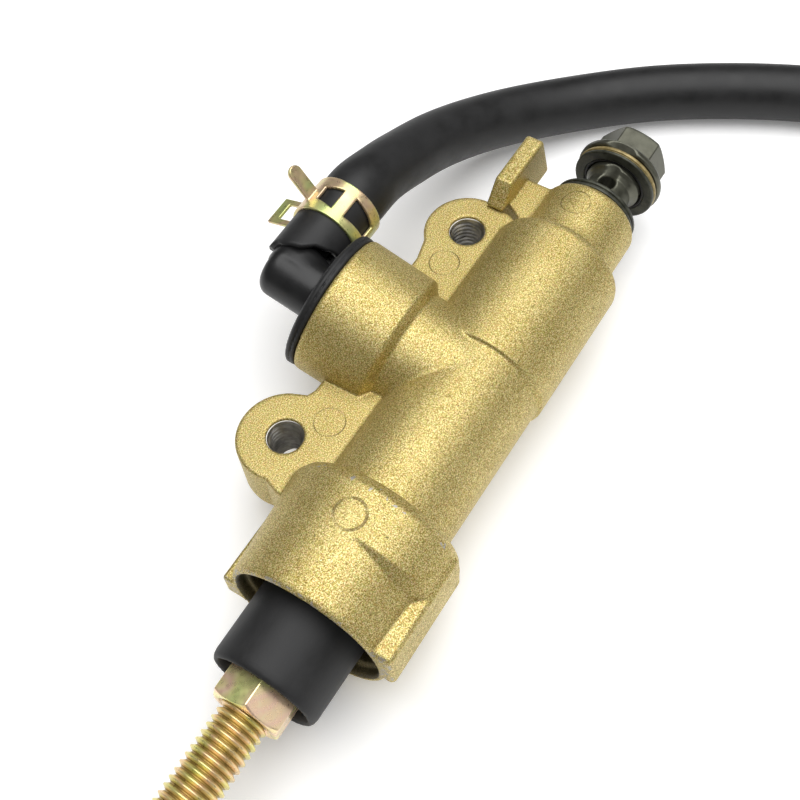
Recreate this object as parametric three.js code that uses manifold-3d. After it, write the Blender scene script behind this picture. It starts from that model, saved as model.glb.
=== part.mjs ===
// Rear brake master cylinder with a loosely fitted banjo bolt, an inlet elbow and its reservoir hose.
// Millimetres. +X runs along the bore from the pushrod to the outlet, +Y points to the inlet port,
// +Z points out of the two fixing faces. Every part is built about the bore line, with x = 0 at the
// mouth of the housing, and the whole assembly is then moved so that the origin lies on the fixing face.
import * as THREE from "three";
import { mergeVertices } from "three/addons/utils/BufferGeometryUtils.js";
import Module from "manifold-3d";

const wasm = await Module();
wasm.setup();

// Driving dimensions
const GAP = 0.3;
const FACE_Z = 4.5;
const EAR_BOTTOM_Z = -5.5;
const HOLE_RADIUS = 3.0;
const EAR_A = { x: 23.6, y: 19.8, radius: 8.1 };
const EAR_B = { x: 73.44, y: 15.8, radius: 7.6 };
const ORIGIN = { x: 23.6, y: 13.4, z: FACE_Z };

const BARREL_RADIUS = 11.0;
const FRONT_RADIUS = 11.7;
const OUTLET_RADIUS = 8.7;
const OUTLET_FACE_X = 89.8;
const BORE_RADIUS = 7.0;
const BORE_END_X = 75.0;
const OUTLET_THREAD_RADIUS = 5.15;

const PORT_X = 47.85;
const PORT_TILT = THREE.MathUtils.degToRad(14);
const PORT_RADIUS = 12.4;
const PORT_END = 27;
const ELBOW_CORNER = 35.85;
const ELBOW_RADIUS = 4.9;

const ROD_RADIUS = 4.0;
const ROD_END_X = -48;
const NUT_X = [-15.8, -9.3];
const NUT_FLATS = 11;
const NUT_CORNER_ANGLE = 100;
const BOOT_RADIUS = 9.1;

const HOSE_RADIUS = 5.5;
const HOSE_BORE = 3.6;
const HOSE_START_X = 53.1;
const CLAMP_X = [57.7, 65.3];
const TANG_ANGLE = 54;
const LOOP_ANGLE = -17;

const leg = {
  y: ELBOW_CORNER * Math.cos(PORT_TILT),
  z: ELBOW_CORNER * Math.sin(PORT_TILT),
};

// Route of the hose centreline: off the elbow, down to the bench and away in one long bend.
const HOSE_ROUTE = [
  [HOSE_START_X, leg.y, leg.z],
  [60, leg.y, leg.z],
  [68.6, leg.y, leg.z],
  [75.2, 34.8, 7.0],
  [81.8, 34.6, 4.4],
  [93.7, 33.5, -0.6],
  [107.8, 28.6, -5.9],
  [121.5, 19.0, -9.4],
  [132, 6.9, -10.1],
  [139.8, -6, -10.1],
  [145.8, -18.5, -10.1],
  [151, -33, -10.1],
  [154, -49, -10.1],
  [154, -66, -10.1],
  [150.5, -82, -10.1],
  [143.5, -97, -10.1],
];

// Turns a closed three.js geometry into a manifold solid, whichever way its faces were wound.
function toSolid(geometry) {
  const plain = geometry.clone();
  plain.deleteAttribute("normal");
  plain.deleteAttribute("uv");
  const merged = mergeVertices(plain, 1e-4);
  const vertices = new Float32Array(merged.attributes.position.array);
  const build = (triangles) =>
    new wasm.Manifold(
      new wasm.Mesh({ numProp: 3, vertProperties: vertices, triVerts: triangles }),
    );
  const triangles = new Uint32Array(merged.index.array);
  const solid = build(triangles);
  if (solid.volume() > 0) return solid;
  for (let i = 0; i < triangles.length; i += 3)
    [triangles[i + 1], triangles[i + 2]] = [triangles[i + 2], triangles[i + 1]];
  return build(triangles);
}

function toGeometry(solid) {
  const mesh = solid.getMesh();
  const positions = new Float32Array(mesh.numVert * 3);
  for (let i = 0; i < mesh.numVert; i++)
    positions.set(mesh.vertProperties.subarray(i * mesh.numProp, i * mesh.numProp + 3), i * 3);
  return new THREE.BufferGeometry()
    .setAttribute("position", new THREE.BufferAttribute(positions, 3))
    .setIndex(new THREE.BufferAttribute(new Uint32Array(mesh.triVerts), 1));
}

// A body turned about the X axis. Profile points are [x, radius].
function turned(profile, segments = 36, shift = [0, 0, 0]) {
  const points = profile.map(([x, radius]) => new THREE.Vector2(radius, x));
  const geometry = new THREE.LatheGeometry(points, segments);
  geometry.rotateZ(-Math.PI / 2);
  geometry.translate(...shift);
  return toSolid(geometry);
}

// A plain cylinder along X.
function bar(x0, x1, radius, segments = 36, shift = [0, 0, 0]) {
  return turned([[x0, 0], [x0, radius], [x1, radius], [x1, 0]], segments, shift);
}

// A plain ring along X.
function ring(x0, x1, inner, outer, segments = 36) {
  return turned([[x0, inner], [x0, outer], [x1, outer], [x1, inner], [x0, inner]], segments);
}

// Moves a solid built along X so that it lies along the tilted inlet port.
function ontoPort(solid) {
  const geometry = toGeometry(solid);
  geometry.rotateZ(Math.PI / 2);
  geometry.rotateX(PORT_TILT);
  geometry.translate(PORT_X, 0, 0);
  return toSolid(geometry);
}

// A flat plate with an XY outline between two heights.
function plate(outline, z0, z1) {
  const shape = new THREE.Shape(outline.map(([x, y]) => new THREE.Vector2(x, y)));
  const geometry = new THREE.ExtrudeGeometry(shape, { depth: z1 - z0, bevelEnabled: false });
  geometry.translate(0, 0, z0);
  return toSolid(geometry);
}

// A YZ outline drawn out along X.
function beam(outline, x0, x1) {
  const shape = new THREE.Shape(outline.map(([y, z]) => new THREE.Vector2(y, z)));
  const geometry = new THREE.ExtrudeGeometry(shape, { depth: x1 - x0, bevelEnabled: false });
  geometry.rotateX(Math.PI / 2);
  geometry.rotateZ(Math.PI / 2);
  geometry.translate(x0, 0, 0);
  return toSolid(geometry);
}

// An XZ outline drawn out along Y.
function slab(outline, y0, y1) {
  const shape = new THREE.Shape(outline.map(([x, z]) => new THREE.Vector2(x, z)));
  const geometry = new THREE.ExtrudeGeometry(shape, { depth: y1 - y0, bevelEnabled: false });
  geometry.rotateX(Math.PI / 2);
  geometry.translate(0, y1, 0);
  return toSolid(geometry);
}

function uprightBar(x, y, radius, z0, z1, segments = 32) {
  const geometry = new THREE.CylinderGeometry(radius, radius, z1 - z0, segments);
  geometry.rotateX(Math.PI / 2);
  geometry.translate(x, y, (z0 + z1) / 2);
  return toSolid(geometry);
}

// Points on an arc in degrees, as [x, y] pairs.
function arc(cx, cy, radius, from, to, steps) {
  const points = [];
  for (let i = 0; i <= steps; i++) {
    const angle = THREE.MathUtils.degToRad(from + ((to - from) * i) / steps);
    points.push([cx + radius * Math.cos(angle), cy + radius * Math.sin(angle)]);
  }
  return points;
}

function hexBar(x0, x1, flats, cornerAngle) {
  const corner = flats / 2 / Math.cos(Math.PI / 6);
  return beam(arc(0, 0, corner, cornerAngle, cornerAngle + 300, 5), x0, x1);
}

// A sweep of a round section, hollow when a bore is given, along a curve.
function swept(curve, radius, bore, sides, steps) {
  const shape = new THREE.Shape();
  shape.absarc(0, 0, radius, 0, Math.PI * 2);
  if (bore > 0) shape.holes.push(new THREE.Path().absarc(0, 0, bore, 0, Math.PI * 2, true));
  return new THREE.ExtrudeGeometry(shape, {
    extrudePath: curve,
    steps,
    curveSegments: sides,
    bevelEnabled: false,
  });
}

// The outside of the barrel, grown by a margin so that neighbours can be cut clear of it.
function barrelOutside(margin) {
  const outline = [
    [0, 13.4], [0.6, 13.95], [18.8, 15.2], [20.6, 14.3], [20.9, 13.4], [21.1, BARREL_RADIUS],
    [50.6, BARREL_RADIUS], [51.2, FRONT_RADIUS], [77.4, FRONT_RADIUS], [78.6, 11.2], [79.6, 9.8],
    [80.2, 8.9], [81.2, OUTLET_RADIUS], [89.2, OUTLET_RADIUS], [OUTLET_FACE_X, 8.2],
  ].map(([x, radius]) => [x, radius + margin]);
  return turned([[0, 0], ...outline, [OUTLET_FACE_X, 0]], 48);
}

// The heavier shoulder behind the mouth and the two parting-line webs beside it.
function housingWebs(margin) {
  const m = margin;
  const shoulder = turned(
    [[9.3, 0], [9.3, 11.5 + m], [11.4, 12.75 + m], [18.4, 12.85 + m], [20.4, 11.8 + m], [20.6, 0]],
    48,
    [0, -2.6, 1.5],
  );
  const ridge = beam(
    [[-9, -2.8 - m], [-15.5 - m, -2.8 - m], ...arc(-13.7, 4.9, 1.8 + m, 180, 90, 5), [-9, 6.7 + m]],
    0,
    13,
  );
  const ledge = beam([[9, 0.2 + m], [15.8 + m, 0.2 + m], [15.8 + m, -5 - m], [9, -5 - m]], 0, 13);
  return shoulder.add(ridge).add(ledge);
}

function boreSpace() {
  return turned([
    [-1, 0], [-1, 12.9], [1.2, 12.9], [1.8, 12.2], [4.6, 12.2], [4.6, 12.8], [6, 12.8], [6, 12.1],
    [11, 12.1], [11, 9.6], [12.1, 9.6], [12.1, 10.5], [13.4, 10.5], [13.4, 9.6], [16, 9.6],
    [16.8, BORE_RADIUS], [BORE_END_X, BORE_RADIUS], [BORE_END_X, OUTLET_THREAD_RADIUS],
    [OUTLET_FACE_X - 0.6, OUTLET_THREAD_RADIUS], [OUTLET_FACE_X, 5.8], [OUTLET_FACE_X + 1, 5.8],
    [OUTLET_FACE_X + 1, 0],
  ]);
}

const feedHole = ontoPort(bar(5, 16, 1.6, 16));

function bodyCasting() {
  return barrelOutside(0).add(housingWebs(0)).subtract(boreSpace()).subtract(feedHole);
}

function clearOfBarrel(solid) {
  return solid.subtract(barrelOutside(GAP)).subtract(housingWebs(GAP));
}

function inletOutside(margin) {
  const m = margin;
  return ontoPort(
    turned([
      [4.5, 0], [4.5, 11.1 + m], [12.9, 10.85 + m], [14.2, 12 + m], [14.6, 12.2 + m],
      [PORT_END - 0.4, PORT_RADIUS + m], [PORT_END, 12 + m], [PORT_END, 0],
    ]),
  );
}

function inletBoss() {
  const bore = ontoPort(
    turned([
      [14.7, 0], [14.7, 7], [21.3, 7], [21.3, 9.5], [24.4, 9.5], [24.4, 10.3], [25.9, 10.3],
      [25.9, 9.5], [28, 9.5], [28, 0],
    ]),
  );
  return clearOfBarrel(inletOutside(0)).subtract(bore).subtract(feedHole);
}

function threadedEar(ear, outline) {
  const blank = plate(outline, EAR_BOTTOM_Z, FACE_Z);
  const hole = uprightBar(ear.x, ear.y, HOLE_RADIUS, EAR_BOTTOM_Z - 1, FACE_Z + 1);
  return clearOfBarrel(blank).subtract(inletOutside(GAP)).subtract(hole);
}

function earPushrodEnd() {
  const { x, y, radius } = EAR_A;
  return threadedEar(EAR_A, [
    [15, 9], ...arc(x, y, radius, 190, 28, 22), [31.6, 21.6], [32.6, 20.4], [40, 20.3], [40, 9],
  ]);
}

function earOutletEnd() {
  const { x, y, radius } = EAR_B;
  return threadedEar(EAR_B, [
    [59, 9], [59, 20.3], [64.8, 20.5], ...arc(x, y, radius, 130, -52, 24), [76, 8],
  ]);
}

// Web and block that the lever's stop lands on.
function stopLug() {
  const web = plate([[77, 5], [77, 12.9], [88.9, 12.9], [88.9, 5]], -4, FACE_Z);
  const block = slab([[80.4, -1], [96.8, -1], [94.5, 9], [83, 9], [79.8, 5.4]], 12.25, 15.65);
  const relief = uprightBar(EAR_B.x, EAR_B.y, 9.4, -10, FACE_Z + 0.01, 48);
  return clearOfBarrel(web.add(block).subtract(relief));
}

function piston() {
  return turned([
    [24.6, 0], [22.4, 4.2], [18.6, 5.4], [18.6, 6.85], [22, 6.85], [22, 4.8], [24.6, 4.8],
    [24.6, 6.85], [28, 6.85], [28, 5.2], [46, 5.2], [46, 6.85], [48.6, 6.85], [48.6, 4.8],
    [51.4, 4.8], [51.4, 6.6], [53, 6.6], [53, 3.2], [55.8, 3.2], [55.8, 0],
  ]);
}

function cup(x0, x1, lipInner) {
  return turned([
    [x0, 5.1], [x0, 6.7], [x1, 6.85], [x1, lipInner], [x0 + 0.8, 5.6], [x0 + 0.8, 5.1], [x0, 5.1],
  ]);
}

function springSeat() {
  return ring(53.3, 54.3, 3.5, 6.2);
}

class Helix extends THREE.Curve {
  constructor(x0, x1, radius, turns) {
    super();
    Object.assign(this, { x0, x1, radius, turns });
  }
  getPoint(t, target = new THREE.Vector3()) {
    const angle = Math.PI * 2 * this.turns * t;
    return target.set(
      this.x0 + (this.x1 - this.x0) * t,
      this.radius * Math.cos(angle),
      this.radius * Math.sin(angle),
    );
  }
}

function returnSpring() {
  return toSolid(swept(new Helix(55.3, 74.0, 5.2, 5.5), 0.55, 0, 3, 77));
}

function pushrod() {
  return turned([
    [ROD_END_X, 0], [ROD_END_X, 3.2], [ROD_END_X + 0.9, ROD_RADIUS], [-4, ROD_RADIUS],
    [-3.4, 3.6], [15.2, 3.6], [16, 4.3], [18.2, 4.6], [20.4, 3.8], [21.6, 2.4], [22.1, 0],
  ], 36);
}

function stopPlate() {
  return turned([
    [13.8, 4.1], [13.8, 9.2], [14.8, 9.2], [14.8, 4.1], [13.8, 4.1],
  ]);
}

// An open ring with a lug at each end for pliers.
function snapRing(x0, x1, inner, outer) {
  const outline = [...arc(0, 0, outer, 110, 430, 40), ...arc(0, 0, inner, 430, 110, 40)];
  const band = beam(outline, x0, x1);
  const lug = (angle) => {
    const a = THREE.MathUtils.degToRad(angle);
    const r = inner - 0.2;
    return bar(x0, x1, 1.1, 16, [0, r * Math.cos(a), r * Math.sin(a)]);
  };
  return band.add(lug(118)).add(lug(62));
}

function boreCirclip() {
  return snapRing(12.3, 13.2, 8.4, 10.2);
}

function dustBoot() {
  return turned([
    [-10.6, 7.9], [-11.4, 8.2], [-11.5, 8.5], [-11.1, 8.95], [-10.4, BOOT_RADIUS], [7.4, BOOT_RADIUS],
    [8.2, 11.6], [10.6, 11.6], [10.6, 6], [8.8, 4.3], [6.8, 4.3], [5.4, 7.9], [-10.6, 7.9],
  ]);
}

function lockNut() {
  const [x0, x1] = NUT_X;
  const blank = hexBar(x0, x1, NUT_FLATS, NUT_CORNER_ANGLE);
  const chamfer = turned([
    [x0, 0], [x0, 5.4], [x0 + 0.8, 6.5], [x1 - 0.8, 6.5], [x1, 5.4], [x1, 0],
  ]);
  return blank.intersect(chamfer).subtract(bar(x0 - 1, x1 + 1, ROD_RADIUS + GAP, 36));
}

function banjoBolt() {
  const shank = turned([
    [81.5, 0], [81.5, 4], [82.4, 4.8], [92.8, 4.8], [93.6, 4.0], [98.0, 4.0], [98.8, 5.0],
    [100.4, 5.0], [100.4, 8.2], [101.6, 8.2], [102, 7.6], [102, 0],
  ]);
  const head = hexBar(101.5, 107.6, 11.6, 12).intersect(
    turned([[101, 0], [101, 8], [106.6, 8], [107.6, 5.6], [107.6, 0]]),
  );
  const crossHole = uprightBar(95.4, 0, 1.5, -8, 8, 20);
  const fluidWay = bar(81, 95.4, 1.9, 20);
  return shank.add(head).subtract(crossHole).subtract(fluidWay);
}

function sealWasher(x0) {
  return turned([
    [x0, 5.7], [x0, 7.6], [x0 + 0.15, 7.8], [x0 + 1.35, 7.8], [x0 + 1.5, 7.6], [x0 + 1.5, 5.7],
    [x0 + 0.75, 5.3], [x0, 5.7],
  ]);
}

function inletElbow() {
  const inPort = ontoPort(
    turned([
      [15.3, 0], [15.3, 6.5], [17.3, 6.5], [17.3, 5.2], [19.5, 5.2], [19.5, 6.5], [21.7, 6.5],
      [21.7, 9.1], [24.1, 9.1], [24.1, 7], [25.8, ELBOW_RADIUS], [ELBOW_CORNER, ELBOW_RADIUS],
      [ELBOW_CORNER, 0],
    ], 36),
  );
  const corner = toSolid(
    new THREE.SphereGeometry(ELBOW_RADIUS, 24, 14).translate(PORT_X, leg.y, leg.z),
  );
  const tail = turned([
    [PORT_X, 0], [PORT_X, 4.85], [51.5, 4.85], [52.3, 4.2], [52.3, 2.8], [59.6, 2.8], [60.2, 3.15],
    [62.2, 2.8], [64, 2.8], [64.6, 3.1], [66, 2.5], [66, 0],
  ], 36, [0, leg.y, leg.z]);
  const passagePort = ontoPort(bar(15, ELBOW_CORNER, 2, 20));
  const passageTail = bar(PORT_X, 70, 2, 20, [0, leg.y, leg.z]);
  return inPort.add(corner).add(tail).subtract(passagePort).subtract(passageTail);
}

const inletORing = () =>
  ontoPort(
    turned(arc(18.4, 6.05, 0.75, 0, 360, 8), 28),
  );

const inletCirclip = () => ontoPort(snapRing(24.7, 25.6, 7.9, 10));

function inletGasket() {
  return ontoPort(ring(PORT_END + GAP, PORT_END + 0.9, 6, 12.2));
}

function inletCover() {
  const x = PORT_END + 1.2;
  return ontoPort(
    turned([
      [x, 5.2], [x, 12.3], [x + 0.3, 12.3], [x + 0.7, 11.6], [x + 0.9, 11], [x + 0.9, 7.2],
      [x + 1.4, 6.6], [x + 1.4, 5.2], [x, 5.2],
    ]),
  );
}

// Spring band with two windows, a round-ended tang and a looped tang. Angles are from +Y towards +Z.
function hoseClamp() {
  const [x0, x1] = CLAMP_X;
  const inner = HOSE_RADIUS + GAP;
  const band = ring(x0, x1, inner, inner + 0.7, 48);
  const window = (from, to) => beam([...arc(0, 0, 12, from, to, 4), [0, 0]], x0 + 2.15, x1 - 2.4);
  const outward = (outline, angle) => slab(outline, -0.4, 0.4).rotate([angle - 90, 0, 0]);
  const tangX = x0 + 3;
  const tang = [
    [tangX - 1.4, 5.9], [tangX + 1.4, 5.9], ...arc(tangX, 11.3, 1.4, 0, 180, 8),
  ];
  const loop = [[x0, 5.9], [x0 + 5.8, 5.9], [x0 + 5.8, 13.2], [x0, 13.2]];
  const eye = [[x0 + 1.2, 7.2], [x0 + 4.8, 7.2], [x0 + 4.8, 11.4], [x0 + 1.2, 11.4]];
  return band
    .subtract(window(69, 100))
    .subtract(window(123, 177))
    .add(outward(tang, TANG_ANGLE))
    .add(outward(loop, LOOP_ANGLE).subtract(slab(eye, -2, 2).rotate([LOOP_ANGLE - 90, 0, 0])))
    .translate([0, leg.y, leg.z]);
}

function reservoirHose() {
  const curve = new THREE.CatmullRomCurve3(
    HOSE_ROUTE.map((p) => new THREE.Vector3(...p)),
    false,
    "centripetal",
  );
  return toSolid(swept(curve, HOSE_RADIUS, HOSE_BORE, 8, 48));
}

const PAINT = 0xc2a449;
const ZINC = 0xcdb35a;
const BLACK_RUBBER = 0x1c1c1e;
const STEEL = 0x8d8f92;
const OLIVE = 0x3a3d36;
const ALUMINIUM = 0xb9bcc0;

const NODES = [
  ["body_casting", bodyCasting(), PAINT],
  ["inlet_boss", inletBoss(), PAINT],
  ["ear_pushrod_end", earPushrodEnd(), PAINT],
  ["ear_outlet_end", earOutletEnd(), PAINT],
  ["stop_lug", stopLug(), PAINT],
  ["piston", piston(), ALUMINIUM],
  ["secondary_cup", cup(22.3, 24.3, 6.2), BLACK_RUBBER],
  ["primary_cup", cup(48.9, 51.1, 6.2), BLACK_RUBBER],
  ["spring_seat", springSeat(), STEEL],
  ["return_spring", returnSpring(), STEEL],
  ["pushrod", pushrod(), ZINC],
  ["pushrod_stop_plate", stopPlate(), STEEL],
  ["bore_circlip", boreCirclip(), STEEL],
  ["dust_boot", dustBoot(), BLACK_RUBBER],
  ["lock_nut", lockNut(), ZINC],
  ["banjo_bolt", banjoBolt(), OLIVE],
  ["banjo_washer_inner", sealWasher(OUTLET_FACE_X + GAP), ZINC],
  ["banjo_washer_outer", sealWasher(98.6), ZINC],
  ["inlet_elbow", inletElbow(), BLACK_RUBBER],
  ["inlet_o_ring", inletORing(), BLACK_RUBBER],
  ["inlet_circlip", inletCirclip(), STEEL],
  ["inlet_gasket", inletGasket(), BLACK_RUBBER],
  ["inlet_cover", inletCover(), BLACK_RUBBER],
  ["hose_clamp", hoseClamp(), ZINC],
  ["reservoir_hose", reservoirHose(), BLACK_RUBBER],
];

const assembly = new THREE.Group();
assembly.position.set(-ORIGIN.x, -ORIGIN.y, -ORIGIN.z);
for (const [name, solid, colour] of NODES) {
  const mesh = new THREE.Mesh(
    toGeometry(solid),
    new THREE.MeshStandardMaterial({ color: colour }),
  );
  mesh.name = name;
  assembly.add(mesh);
}

const masterCylinder = new THREE.Group();
masterCylinder.add(assembly);
export default masterCylinder;
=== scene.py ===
"""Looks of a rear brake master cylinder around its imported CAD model.

Shapes are worked out in millimetres in the bore frame: x = 0 at the mouth of the housing and rising
towards the outlet, the bore line on the X axis, +Y to the inlet, +Z out of the fixing faces.
"""

import math

import bpy
import numpy as np
from mathutils import Matrix, Vector


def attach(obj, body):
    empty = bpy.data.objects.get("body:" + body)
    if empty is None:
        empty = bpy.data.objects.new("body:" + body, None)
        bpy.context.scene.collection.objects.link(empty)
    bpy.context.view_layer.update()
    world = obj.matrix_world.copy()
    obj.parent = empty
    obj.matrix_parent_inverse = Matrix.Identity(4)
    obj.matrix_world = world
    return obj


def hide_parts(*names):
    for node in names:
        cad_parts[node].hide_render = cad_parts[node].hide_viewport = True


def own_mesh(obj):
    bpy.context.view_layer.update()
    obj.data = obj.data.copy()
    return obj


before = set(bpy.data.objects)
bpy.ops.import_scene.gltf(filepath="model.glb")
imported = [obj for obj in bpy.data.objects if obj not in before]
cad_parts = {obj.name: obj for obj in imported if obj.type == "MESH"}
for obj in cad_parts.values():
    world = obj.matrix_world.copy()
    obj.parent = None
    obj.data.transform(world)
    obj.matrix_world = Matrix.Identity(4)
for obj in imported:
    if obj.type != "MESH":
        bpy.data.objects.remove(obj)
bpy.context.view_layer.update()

# ---------------------------------------------------------------- driving dimensions, mm
ORIGIN = np.array([23.6, 13.4, 4.5])
FACE_Z = 4.5
EAR_BOTTOM_Z = -5.5
EAR_A = (23.6, 19.8, 8.1)
EAR_B = (73.44, 15.8, 7.6)
EAR_HOLE = 3.12
EAR_THREAD_MINOR = 2.55
EAR_THREAD_MAJOR = 3.0
EAR_PITCH = 1.0

PORT_X = 47.85
PORT_TILT = math.radians(14)
ELBOW_CORNER = 35.85
LEG_Y = ELBOW_CORNER * math.cos(PORT_TILT)
LEG_Z = ELBOW_CORNER * math.sin(PORT_TILT)

ROD_TIP_X = -48
ROD_PITCH = 1.25
ROD_CREST = 4.08
ROD_THREAD_DEPTH = 0.72
BOLT_PITCH = 1.25

HOSE_RADIUS = 5.5
HOSE_BORE = 3.6
HOSE_START_X = 53.1
BENCH_Z = -15.6

# The camera's place, its right and up directions in the row frame in metres, and its lens in mm.
CAMERA_AT = (-0.06430, -0.06958, 0.16945)
CAMERA_RIGHT = (0.5358, -0.8418, -0.0657)
CAMERA_UP = (0.7432, 0.4332, 0.5099)
CAMERA_LENS = 55.19

# The hose's route, as in the CAD model, mm in the bore frame.
HOSE_ROUTE = [
    (HOSE_START_X, LEG_Y, LEG_Z),
    (60, LEG_Y, LEG_Z),
    (68.6, LEG_Y, LEG_Z),
    (75.2, 34.8, 7.0),
    (81.8, 34.6, 4.4),
    (93.7, 33.5, -0.6),
    (107.8, 28.6, -5.9),
    (121.5, 19.0, -9.4),
    (132, 6.9, -10.1),
    (139.8, -6, -10.1),
    (145.8, -18.5, -10.1),
    (151, -33, -10.1),
    (154, -49, -10.1),
    (154, -66, -10.1),
    (150.5, -82, -10.1),
    (143.5, -97, -10.1),
]


def to_row(points):
    """Bore-frame millimetres to the row frame in metres."""
    return (np.asarray(points, float) - ORIGIN) / 1000


def metres(value, axis):
    """One bore-frame coordinate in the row frame."""
    return float(value - ORIGIN[axis]) / 1000


def around(count):
    """Angles spaced evenly round a full turn."""
    return np.linspace(0, 2 * np.pi, count, endpoint=False)


# ---------------------------------------------------------------- camera


def make_camera():
    right = Vector(CAMERA_RIGHT).normalized()
    up = Vector(CAMERA_UP)
    up = (up - up.dot(right) * right).normalized()
    back = right.cross(up)
    turn = Matrix((right, up, back)).transposed().to_4x4()
    data = bpy.data.cameras.new("camera")
    data.lens = CAMERA_LENS
    data.sensor_width = 36
    data.clip_start = 0.005
    camera = bpy.data.objects.new("camera", data)
    camera.matrix_world = Matrix.Translation(CAMERA_AT) @ turn
    bpy.context.collection.objects.link(camera)
    bpy.context.scene.camera = camera


make_camera()

# ---------------------------------------------------------------- distance fields
# Each function takes arrays of coordinates and returns a signed distance, negative inside.


def smooth_union(a, b, k):
    """a and b joined, with a fillet of about k between them."""
    h = np.maximum(k - np.abs(a - b), 0) / k
    return np.minimum(a, b) - h * h * k / 4


def smooth_cut(a, b, k):
    """a with b taken away, the new edge rounded over about k."""
    h = np.maximum(k - np.abs(a + b), 0) / k
    return np.maximum(a, -b) + h * h * k / 4


def smooth_both(a, b, k):
    """What a and b share, its edges rounded over about k."""
    h = np.maximum(k - np.abs(a - b), 0) / k
    return np.maximum(a, b) + h * h * k / 4


def polygon(u, v, outline):
    """Distance to a closed 2D outline."""
    points = np.array(outline, np.float32)
    nearest = np.full(u.shape, 1e9, np.float32)
    inside = np.zeros(u.shape, bool)
    for (ax, ay), (bx, by) in zip(points, np.roll(points, -1, axis=0)):
        ex, ey = bx - ax, by - ay
        if ex == 0 and ey == 0:
            continue
        wx, wy = u - ax, v - ay
        t = np.clip((wx * ex + wy * ey) / (ex * ex + ey * ey), 0, 1)
        nearest = np.minimum(nearest, (wx - ex * t) ** 2 + (wy - ey * t) ** 2)
        if ey != 0:
            crosses = (ay > v) != (by > v)
            inside ^= crosses & (u < (v - ay) * ex / ey + ax)
    distance = np.sqrt(nearest)
    return np.where(inside, -distance, distance)


def turned(x, y, z, outline, centre=(0.0, 0.0)):
    """Body turned about a line along X. The outline is (x, radius)."""
    return polygon(x, np.hypot(y - centre[0], z - centre[1]), mirrored(outline))


def mirrored(outline):
    """A half outline closed by its mirror image, so that the axis itself is no edge."""
    return list(outline) + [(x, -r) for x, r in reversed(outline) if r > 0]


def drawn(d2, w, w0, w1, edge):
    """A 2D distance drawn out between w0 and w1, with rounded edges."""
    dw = np.maximum(w0 - w, w - w1)
    a, b = d2 + edge, dw + edge
    return np.minimum(np.maximum(a, b), 0) + np.hypot(np.maximum(a, 0), np.maximum(b, 0)) - edge


def block(x, y, z, lo, hi, edge):
    """A box between two corners with rounded edges."""
    centre = (np.array(lo, float) + np.array(hi)) / 2
    half = (np.array(hi, float) - np.array(lo)) / 2 - edge
    qx = np.abs(x - centre[0]) - half[0]
    qy = np.abs(y - centre[1]) - half[1]
    qz = np.abs(z - centre[2]) - half[2]
    outside = np.sqrt(
        np.maximum(qx, 0) ** 2 + np.maximum(qy, 0) ** 2 + np.maximum(qz, 0) ** 2
    )
    return outside + np.minimum(np.maximum(np.maximum(qx, qy), qz), 0) - edge


def port_frame(x, y, z):
    """Length along the tilted inlet, and the two coordinates across it."""
    along = y * math.cos(PORT_TILT) + z * math.sin(PORT_TILT)
    across = z * math.cos(PORT_TILT) - y * math.sin(PORT_TILT)
    return along, x - PORT_X, across


def arc(cx, cy, radius, start, end, steps):
    """Points along an arc between two angles in degrees."""
    angles = np.radians(np.linspace(start, end, steps + 1))
    return [(cx + radius * math.cos(a), cy + radius * math.sin(a)) for a in angles]


# ---------------------------------------------------------------- meshes


def make_object(name, vertices, faces, material):
    mesh = bpy.data.meshes.new(name)
    mesh.from_pydata(to_row(vertices).tolist(), [], faces)
    mesh.validate()
    mesh.polygons.foreach_set("use_smooth", [True] * len(mesh.polygons))
    mesh.materials.append(material)
    made = bpy.data.objects.new(name, mesh)
    bpy.context.collection.objects.link(made)
    return made


def settle(made, body, nodes=()):
    """Joins a piece to its body, and hides the CAD nodes that it stands for."""
    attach(made, body)
    if nodes:
        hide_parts(*nodes)


SLAB_POINTS = 400000


def grid_values(field, lo, counts, step):
    """The field at every grid point, worked out a slab at a time to save memory."""
    axes = [lo[a] + step * np.arange(counts[a], dtype=np.float32) for a in range(3)]
    values = np.empty(counts, np.float32)
    slab = max(1, SLAB_POINTS // (counts[1] * counts[2]))
    for start in range(0, counts[0], slab):
        x, y, z = np.meshgrid(axes[0][start : start + slab], axes[1], axes[2], indexing="ij")
        values[start : start + slab] = field(x, y, z)
    return values


def net_faces(inside, index):
    """Quads round every grid edge that the surface crosses."""
    faces = []
    for axis in range(3):
        u, v = (axis + 1) % 3, (axis + 2) % 3
        low = [slice(None)] * 3
        high = [slice(None)] * 3
        low[axis] = slice(0, -1)
        high[axis] = slice(1, None)
        first, second = inside[tuple(low)], inside[tuple(high)]
        at = np.argwhere(first != second)
        at = at[(at[:, u] > 0) & (at[:, v] > 0)]
        at = at[(at[:, u] < inside.shape[u] - 1) & (at[:, v] < inside.shape[v] - 1)]
        corners = []
        for du, dv in ((1, 1), (0, 1), (0, 0), (1, 0)):
            cell = at.copy()
            cell[:, u] -= du
            cell[:, v] -= dv
            corners.append(index[cell[:, 0], cell[:, 1], cell[:, 2]])
        quads = np.stack(corners, 1)
        outward = first[at[:, 0], at[:, 1], at[:, 2]]
        quads[~outward] = quads[~outward][:, ::-1]
        faces.append(quads)
    return np.concatenate(faces)


def pull_to_surface(field, points, step):
    """Points moved along the field's slope until they lie on its zero surface."""
    reach = 0.2 * step
    for _ in range(3):
        x, y, z = points.T
        value = field(x, y, z)
        slope = np.stack(
            [
                field(x + reach, y, z) - field(x - reach, y, z),
                field(x, y + reach, z) - field(x, y - reach, z),
                field(x, y, z + reach) - field(x, y, z - reach),
            ],
            1,
        ) / (2 * reach)
        size = np.maximum(np.linalg.norm(slope, axis=1), 0.3)
        move = np.clip(value / size, -0.5 * step, 0.5 * step)
        points = points - slope / size[:, None] * move[:, None]
    return points


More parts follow.
